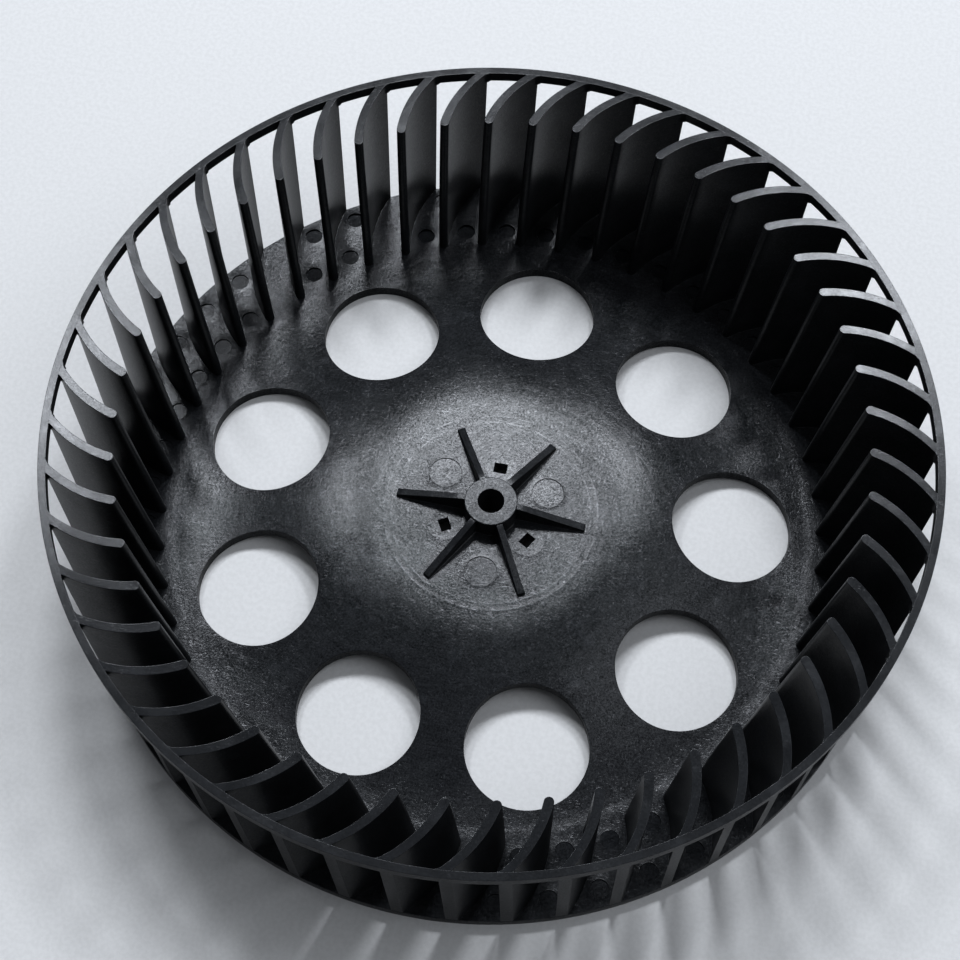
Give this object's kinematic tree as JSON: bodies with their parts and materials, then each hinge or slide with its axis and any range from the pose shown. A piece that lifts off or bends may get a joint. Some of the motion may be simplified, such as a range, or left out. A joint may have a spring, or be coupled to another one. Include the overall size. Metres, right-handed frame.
{
  "type": "blower motor wheel",
  "caption": "Forward-curved squirrel-cage blower wheel: curved blades between a vented, dished back plate and a thin inlet ring, with a ribbed hub for a motor shaft.",
  "frame": {"origin": "on the spin axis, level with the flat underside that the back plate stands on", "axes": "+Z along the spin axis, out of the inlet; +X along the middle of the first hub rib"},
  "size_m": [0.16, 0.16, 0.04],
  "materials": {
    "plate_plastic": "satin, glass-filled, mottled and faintly swirled",
    "ring_plastic": "satin, scuffed on the inlet face",
    "blade_plastic": "satin, faint flow lines, paler on the cut ends",
    "hub_plastic": "satin, fine grain"
  },
  "bodies": {
    "root": {"back_plate": "plate_plastic", "rim_ring": "ring_plastic", "hub_boss": "hub_plastic", "hub_rib_1": "hub_plastic", "hub_rib_2": "hub_plastic", "hub_rib_3": "hub_plastic", "hub_rib_4": "hub_plastic", "hub_rib_5": "hub_plastic", "hub_rib_6": "hub_plastic", "blade_01": "blade_plastic", "blade_02": "blade_plastic", "blade_03": "blade_plastic", "blade_04": "blade_plastic", "blade_05": "blade_plastic", "blade_06": "blade_plastic", "blade_07": "blade_plastic", "blade_08": "blade_plastic", "blade_09": "blade_plastic", "blade_10": "blade_plastic", "blade_11": "blade_plastic", "blade_12": "blade_plastic", "blade_13": "blade_plastic", "blade_14": "blade_plastic", "blade_15": "blade_plastic", "blade_16": "blade_plastic", "blade_17": "blade_plastic", "blade_18": "blade_plastic", "blade_19": "blade_plastic", "blade_20": "blade_plastic", "blade_21": "blade_plastic", "blade_22": "blade_plastic", "blade_23": "blade_plastic", "blade_24": "blade_plastic", "blade_25": "blade_plastic", "blade_26": "blade_plastic", "blade_27": "blade_plastic", "blade_28": "blade_plastic", "blade_29": "blade_plastic", "blade_30": "blade_plastic", "blade_31": "blade_plastic", "blade_32": "blade_plastic", "blade_33": "blade_plastic", "blade_34": "blade_plastic", "blade_35": "blade_plastic", "blade_36": "blade_plastic", "blade_37": "blade_plastic", "blade_38": "blade_plastic", "blade_39": "blade_plastic", "blade_40": "blade_plastic", "blade_41": "blade_plastic", "blade_42": "blade_plastic", "blade_43": "blade_plastic", "blade_44": "blade_plastic", "blade_45": "blade_plastic", "blade_46": "blade_plastic", "blade_47": "blade_plastic", "blade_48": "blade_plastic", "blade_49": "blade_plastic", "blade_50": "blade_plastic"}
  },
  "joints": []
}
